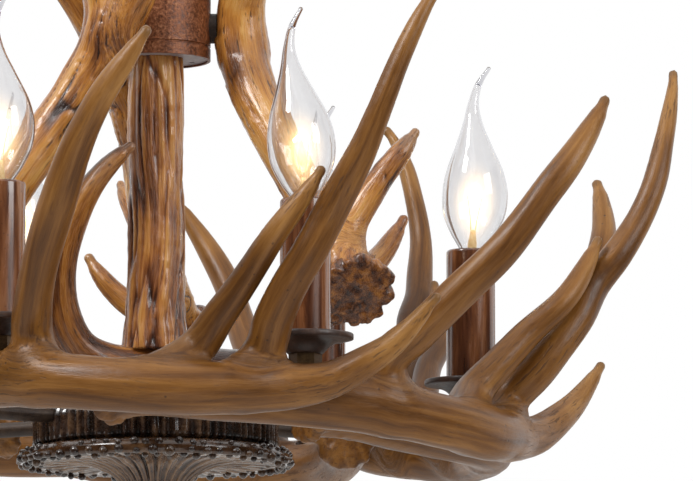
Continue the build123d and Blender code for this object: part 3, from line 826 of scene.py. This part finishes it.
lower_meshes = {}
for k in range(6):
    key = k if k in (0, 2, 3) else "plain"
    if key not in lower_meshes:
        a = radians(CANDLE_ANGLES[k] - 60.0 * (k - 1))
        seat = (CANDLE_RADIUS * sin(a), -CANDLE_RADIUS * cos(a), SEAT_LEVEL, SEAT_RADIUS)
        lower_meshes[key] = antler_mesh(
            f"lower_antler_skin_{key}", lower_tables(k), TAN, lower_relief,
            burr=LOWER_BURR, seat=seat, seed=11 + 7 * k,
        )
    piece(
        f"lower_antler_skin_{k + 1}", moved(lower_meshes[key], ring_place(60.0 * (k - 1))), Matrix(),
        "frame", [f"lower_antler_{k + 1}"],
    )

# ------------------------------------------------------------------ upper antlers and branch
upper_mesh = antler_mesh(
    "upper_antler_skin", [UPPER_BEAM, UPPER_FORK, UPPER_BROW, UPPER_LOW], AMBER, upper_relief,
    burr=UPPER_BURR, seed=5,
)
for k in range(3):
    piece(
        f"upper_antler_skin_{k + 1}", moved(upper_mesh, upper_place(k)), Matrix(),
        "frame", [f"upper_antler_{k + 1}"],
    )
branch_mesh = antler_mesh("base_branch_skin", [BRANCH], BRANCH_SKIN, lower_relief, seed=23)
piece("base_branch_skin", branch_mesh, lamp(0), "frame", ["base_branch"])


# ------------------------------------------------------------------ turned and wrapped pieces
def wrap(columns, rows, closed_top=False, closed_foot=False):
    """Faces of a grid of rows rings with columns points each."""
    c = np.arange(columns)
    n = (c + 1) % columns
    first = np.arange(rows - 1)[:, None] * columns
    faces = np.stack([first + c, first + n, first + columns + n, first + columns + c], 2)
    faces = [tuple(f) for f in faces.reshape(-1, 4)]
    if closed_foot:
        faces.append(tuple(c[::-1]))
    if closed_top:
        faces.append(tuple((rows - 1) * columns + c))
    return faces


def ring_at(radius, height, angles, shift=0.0):
    """Points of one ring; the radius may differ from point to point."""
    return np.stack([shift + radius * np.cos(angles), radius * np.sin(angles), 0 * angles + height], 1)


def turned(profile, segments=72):
    """Points and faces of a profile of (radius, height) turned round Z."""
    a = 2 * pi * np.arange(segments) / segments
    r = np.array([p[0] for p in profile])[:, None]
    z = np.array([p[1] for p in profile])[:, None]
    verts = np.stack([r * np.cos(a), r * np.sin(a), z + 0 * a], 2).reshape(-1, 3)
    return verts, wrap(segments, len(profile))


def rounded(points, step=1.0):
    """A smooth line through (radius, height) points."""
    run = resample([(r, 0, z, 0) for r, z in points], step)
    return [(r, z) for r, _, z, _ in run]


# column: bark ridges that run up it
rows, cols = 150, 180
foot, top = -62.5, 94.4
z = np.linspace(foot, top, rows)[:, None]
a = (2 * pi * np.arange(cols) / cols)[None, :]
core = np.interp(z, [foot, -46, -20, 30, top], [18.2, 16.4, 15.2, 14.4, 14.6])
ring = np.stack([core * np.cos(a), core * np.sin(a), z + 0 * a], 2).reshape(-1, 3)
sway = np.stack([noise3(ring / (40, 40, 60), 15), noise3(ring / (40, 40, 60), 16), 0 * ring[:, 0]], 1)
grain = (ring + 4.0 * sway) * (1, 1, 1 / 26.0)
folds = noise3(grain * (0.22, 0.22, 0.4), 3) * 0.6 + noise3(grain * (0.5, 0.5, 0.9), 4) * 0.4
crack = -np.maximum(0.2 - np.abs(noise3(grain * (0.2, 0.2, 0.45), 9)), 0) * 5.0
push = 1.5 * folds + 1.1 * crack + 0.25 * noise3(ring / 4.0, 6)
out = np.stack([np.cos(a) + 0 * z, np.sin(a) + 0 * z, 0 * a + 0 * z], 2).reshape(-1, 3)
column_mesh = add_mesh(
    "column_bark_skin", ring + out * push[:, None], wrap(cols, rows, True, True), BARK,
    grain=grain, ridge=folds + crack,
)
piece("column_bark_skin", column_mesh, lamp(0), "frame", ["column"])

# fluted collar, uneven as a casting is
FLUTES = 74
around = 900
profile = [(30.0, -88.2), (56.5, -88.2), (60.0, -91.0), (62.0, -95.6), (62.8, -96.4), (63.2, -98.0)]
profile += [(64.0, v) for v in np.linspace(-99.5, -112.5, 8)] + [(62.0, -114.6), (20.0, -114.7)]
a = 2 * pi * np.arange(around) / around
verts, ridge = [], []
for r, v in profile:
    depth = 1.1 * np.clip((r - 60.0) / 3.0, 0, 1)
    wave = np.cos(FLUTES * a + 1.3 * np.sin(7 * a) + 0.6 * np.sin(17 * a) + 0.03 * v)
    wave = wave * (0.85 + 0.35 * np.sin(11 * a + 1.0)) + 0.3 * np.sin(31 * a + 0.8 * np.sin(5 * a))
    lump = noise3(ring_at(r, v, a) / 5.0, 8)
    radius = r + depth * wave + 0.5 * lump * np.clip((r - 40) / 20, 0, 1)
    verts.append(ring_at(radius, v, a))
    ridge.append(wave + lump)
collar_mesh = add_mesh(
    "collar_skin", np.vstack(verts), wrap(around, len(profile)), DARK, ridge=np.hstack(ridge)
)
piece("collar_skin", collar_mesh, lamp(0), "frame", ["base_hub"])

# medallion: beaded rim, and gills that run in to the stem
GILLS = 15
rim = [(66.0, -114.8), (69.5, -116.2), (72.0, -119.0), (71.0, -123.0), (66.0, -122.6)]
bowl = [(66.0, -122.6), (50.0, -121.3), (36.0, -122.0), (25.0, -126.0), (18.0, -132.0), (15.4, -138.6)]
profile = rounded(rim, 1.2)[:-1] + rounded(bowl, 1.2) + [(5.4, -138.9)]
a = 2 * pi * np.arange(around) / around
verts, ridge = [], []
for r, v in profile:
    share = np.clip((67.0 - r) / 6.0, 0, 1) * np.clip((r - 13.0) / 6.0, 0, 1)
    wave = np.abs(np.cos(GILLS * a + 0.25 * np.sin(4 * a))) ** 0.6 * 1.6 - 0.8
    fine = np.cos(4 * GILLS * a + 0.06 * r)
    here = ring_at(r, v, a)
    lump = np.maximum(noise3(here / 4.0, 12), 0)
    drop = share * (1.1 * wave + 0.35 * fine + 0.8 * lump)
    verts.append(here - np.stack([0 * a, 0 * a, drop], 1))
    ridge.append(1.6 * wave * share + 0.8 * fine * share + 1.0 * lump)
gill_mesh = add_mesh(
    "medallion_skin", np.vstack(verts), wrap(around, len(profile)), GILL, ridge=np.hstack(ridge)
)
piece("medallion_skin", gill_mesh, lamp(0), "frame", ["medallion"])

# knobs in uneven rows round the rim, one mesh; a row is (radius, height, count, knob radius)
KNOB_ROWS = [
    (70.6, -117.4, 58, 2.1), (71.6, -121.6, 50, 2.7), (67.6, -123.4, 46, 2.2), (60.5, -122.4, 26, 1.6),
]
ball = [(0.02, -1)] + [(sin(t), -cos(t)) for t in np.linspace(0.35, pi - 0.35, 6)] + [(0.02, 1)]
ball_v, ball_f = turned(ball, 10)
verts, faces, ridge = [], [], []
for row, (radius, level, count, size) in enumerate(KNOB_ROWS):
    for i in range(count):
        t = 2 * pi * (i + 0.5 * row) / count + knob_rng.uniform(-0.025, 0.025)
        s = size * knob_rng.uniform(0.7, 1.12)
        x = (radius + knob_rng.uniform(-0.5, 0.4)) * cos(t)
        y = (radius + knob_rng.uniform(-0.5, 0.4)) * sin(t)
        c = np.array([x, y, level + knob_rng.uniform(-0.9, 0.7)])
        start_at = len(verts) * len(ball_v)
        verts.append(ball_v * s * (1, 1, knob_rng.uniform(0.8, 1.05)) + c)
        faces += [tuple(int(x) + start_at for x in f) for f in ball_f]
        ridge.append(np.full(len(ball_v), knob_rng.uniform(0.6, 2.0) - 0.9))
knob_mesh = add_mesh("rim_knobs", np.vstack(verts), faces, DARK, ridge=np.hstack(ridge))
piece("rim_knobs", knob_mesh, lamp(0), "frame", [])

# ------------------------------------------------------------------ candles
sleeve_side = np.linspace(1.5 - SLEEVE_HEIGHT, -1.6, 12)
sleeve_profile = [(SLEEVE_BORE, -SLEEVE_HEIGHT), (SLEEVE_RADIUS, -SLEEVE_HEIGHT)]
sleeve_profile += [(SLEEVE_RADIUS, v) for v in sleeve_side]
sleeve_profile += [(12.85, -0.9), (12.45, -0.3), (12.0, 0.0), (11.8, -0.3)]
sleeve_profile += [(SLEEVE_BORE, v) for v in (-1.0, -30.0, -SLEEVE_HEIGHT)]
sleeve_mesh = add_mesh("sleeve_skin", *turned(sleeve_profile), SLEEVE)
dish_profile = [(5.3, -9.0), (9.0, -9.0)] + rounded([(9.0, -9.0), (13.5, -4.5), (24.5, -1.5)], 1.0)[1:]
dish_profile += [(24.6, -0.8), (24.6, 0.8), (24.2, 1.3), (23.4, 1.3), (22.9, 0.8), (21.6, 0.1)]
dish_profile += [(5.3, 0.0), (5.3, -9.0)]
dish_mesh = add_mesh("dish_skin", *turned(dish_profile, 96), DISH)

# bulb: outer and inner walls along the bent middle line
line = resample([(x, 0, v, r) for v, r, x in BULB_RINGS], 1.6)
seg = 56
GLASS_WALL = 0.7
HAZE_GAP = 1.1
bulb_angles = 2 * pi * np.arange(seg) / seg


def bulb_wall(run, inset):
    return [ring_at(r - inset, v, bulb_angles, x) for x, _, v, r in run]


outer = bulb_wall(line, 0.0)
tip_x, _, tip_height, tip_radius = line[-1]
for k in range(1, 5):
    t = k * pi / 8.3
    outer.append(ring_at(tip_radius * cos(t), tip_height + tip_radius * sin(t), bulb_angles, tip_x))
inner = bulb_wall([q for q in line if q[3] > 2.0 or q[2] < 40], GLASS_WALL)
tip_ring = inner[-1]
inner.append(tip_ring.mean(0) + (tip_ring - tip_ring.mean(0)) * 0.5 + (0, 0, 0.8))
inner.append(tip_ring.mean(0) + (tip_ring - tip_ring.mean(0)) * 0.05 + (0, 0, 1.0))
rings = inner[::-1] + outer
glass_mesh = add_mesh("bulb_skin", np.vstack(rings), wrap(seg, len(rings), True, True), GLASS)
haze_rings = bulb_wall([q for q in line if 4.5 < q[2] < 62], HAZE_GAP)
haze_mesh = add_mesh("haze_skin", np.vstack(haze_rings), wrap(seg, len(haze_rings), True, True), HAZE)


def tube(points, radius, segments=8):
    """Points and faces of a thin tube along a line."""
    run = np.column_stack([np.array(points, float), np.full(len(points), radius)])
    _, side, over = run_frames(run)
    t = 2 * pi * np.arange(segments) / segments
    rings = []
    for p, s, o in zip(run, side, over):
        rings.append(p[:3] + radius * (np.outer(np.cos(t), s) + np.outer(np.sin(t), o)))
    return np.vstack(rings), wrap(segments, len(run), True, True)


# filament: glass foot, two holders and a coil between them
COIL_TURNS = 13
COIL_RADIUS = 0.9
glass_foot = [(0.1, -3.0), (2.4, -3.0), (2.4, 4.0), (1.6, 9.0), (1.5, 11.0), (0.1, 11.4)]
parts = [(*turned(glass_foot, 16), 0.0)]
for side in (-1, 1):
    holder = [(side * x, 0, v) for x, v in ((1.0, 9), (1.6, 16), (3.0, 24), (4.0, 30))]
    parts.append((*tube(holder, 0.3), 0.0))
t = np.linspace(0, 1, 150)
wind = 2 * pi * COIL_TURNS * t
arch = 30 + 2.4 * np.sin(pi * t)
coil = np.stack([-4 + 8 * t, COIL_RADIUS * np.cos(wind), arch + COIL_RADIUS * np.sin(wind)], 1)
parts.append((*tube(coil, 0.33, 6), 1.0))
verts, faces, heat = [], [], []
for v, f, hot in parts:
    base = sum(len(x) for x in verts)
    verts.append(v)
    faces += [tuple(int(i) + base for i in face) for face in f]
    heat.append(np.full(len(v), hot))
wire_mesh = add_mesh("filament_skin", np.vstack(verts), faces, WIRE, height=np.hstack(heat))

for k in range(6):
    here, lean = candle_place(k), bulb_place(k)
    foot_here = here @ move(0, 0, -SLEEVE_HEIGHT)
    piece(f"sleeve_skin_{k + 1}", sleeve_mesh, here, "frame", [f"candle_sleeve_{k + 1}"])
    piece(f"dish_skin_{k + 1}", dish_mesh, foot_here, "frame", [f"bobeche_{k + 1}"])
    piece(f"bulb_skin_{k + 1}", glass_mesh, lean, f"bulb_{k + 1}", [f"bulb_glass_{k + 1}"])
    piece(f"lamp_haze_{k + 1}", haze_mesh, lean, f"stem_{k + 1}", [])
    piece(f"filament_skin_{k + 1}", wire_mesh, lean, f"stem_{k + 1}", [f"bulb_filament_{k + 1}"])

# ------------------------------------------------------------------ CAD pieces that stay
kept = {
    "hub_can": RUST, "hang_loop": RUST, "hub_plate": PALE, "hub_bolts": STEEL, "hub_spacers": STEEL,
    "centre_tube": STEEL, "tube_nuts": STEEL, "spokes": STEEL, "finial": DARK,
    "candle_nuts": NUT, "candle_nipples": NUT,
}
for k in range(6):
    kept[f"socket_{k + 1}"] = BLACK
    kept[f"bulb_cap_{k + 1}"] = BRASS
for name, material in kept.items():
    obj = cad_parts[name]
    for slot_at in obj.material_slots:
        slot_at.material = material

# ------------------------------------------------------------------ stage, light, camera
scene = bpy.context.scene
FLOOR_LEVEL = -2100
FLOOR_REACH = 9000
corners = [(x * FLOOR_REACH, y * FLOOR_REACH, FLOOR_LEVEL) for x, y in ((-1, -1), (1, -1), (1, 1), (-1, 1))]
floor = bpy.data.objects.new("floor", add_mesh("floor", corners, [(0, 1, 2, 3)], floor_paint(), False))
scene.collection.objects.link(floor)
floor.visible_camera = False

scene.view_settings.view_transform = "Standard"
world = bpy.data.worlds.new("studio")
scene.world = world
world.use_nodes = True
tree = world.node_tree
tree.nodes.clear()
path = tree.nodes.new("ShaderNodeLightPath")


def either(a, b):
    """A node that is 1 where one of two ray kinds is."""
    node = tree.nodes.new("ShaderNodeMath")
    node.operation = "MAXIMUM"
    tree.links.new(a, node.inputs[0])
    tree.links.new(b, node.inputs[1])
    return node.outputs[0]


# white where the camera, a reflection or a look through glass meets the world, softer as light
seen = either(path.outputs["Is Camera Ray"], path.outputs["Is Glossy Ray"])
seen = either(seen, path.outputs["Is Transmission Ray"])
soft, white = tree.nodes.new("ShaderNodeBackground"), tree.nodes.new("ShaderNodeBackground")
soft.inputs["Color"].default_value = (1.0, 0.985, 0.96, 1)
soft.inputs["Strength"].default_value = 0.5
white.inputs["Color"].default_value = (1, 1, 1, 1)
white.inputs["Strength"].default_value = 1.0
join = tree.nodes.new("ShaderNodeMixShader")
tree.links.new(seen, join.inputs[0])
tree.links.new(soft.outputs[0], join.inputs[1])
tree.links.new(white.outputs[0], join.inputs[2])
tree.links.new(join.outputs[0], tree.nodes.new("ShaderNodeOutputWorld").inputs[0])


def soft_box(name, at, target, size, power):
    light = bpy.data.lights.new(name, "AREA")
    light.size = size
    light.energy = power
    obj = bpy.data.objects.new(name, light)
    scene.collection.objects.link(obj)
    obj.location = at
    obj.rotation_euler = (Vector(target) - Vector(at)).to_track_quat("-Z", "Y").to_euler()


middle = (0.0, 0.0, -0.25)
soft_box("key", (-1.7, -1.5, 1.9), middle, 0.9, 62.0)
soft_box("fill", (2.0, -1.7, 0.7), middle, 1.2, 27.0)
soft_box("low", (0.3, -1.9, -1.6), middle, 1.2, 4.0)

# dark curtains behind the camera, at the sides and on the floor there, which only reflections see
SIDE, REAR, HEAD = 5200, -4600, 3300
CURTAIN_FOOT = FLOOR_LEVEL + 10
plan = [(-SIDE, 900), (-SIDE, REAR), (SIDE, REAR), (SIDE, 900)]
points = [(x, y, v) for v in (CURTAIN_FOOT, HEAD) for x, y in plan]
points += [(SIDE, -1300, CURTAIN_FOOT), (-SIDE, -1300, CURTAIN_FOOT)]
panels = [(0, 1, 5, 4), (1, 2, 6, 5), (2, 3, 7, 6), (1, 2, 8, 9)]
curtain = bpy.data.objects.new("curtain", add_mesh("curtain", points, panels, curtain_cloth(), False))
scene.collection.objects.link(curtain)
for kind in ("camera", "diffuse", "transmission", "shadow", "volume_scatter"):
    setattr(curtain, "visible_" + kind, False)

cam = bpy.data.cameras.new("camera")
cam.sensor_fit = "HORIZONTAL"
cam.sensor_width = 36.0
cam.lens = 344.9
cam.clip_end = 60.0
camera = bpy.data.objects.new("camera", cam)
scene.collection.objects.link(camera)
camera.location = (0.0, -3.5, -0.693)
yaw, up = radians(1.66), radians(7.52)
look = Vector((sin(yaw) * cos(up), cos(yaw) * cos(up), sin(up)))
camera.rotation_euler = look.to_track_quat("-Z", "Y").to_euler()
scene.camera = camera
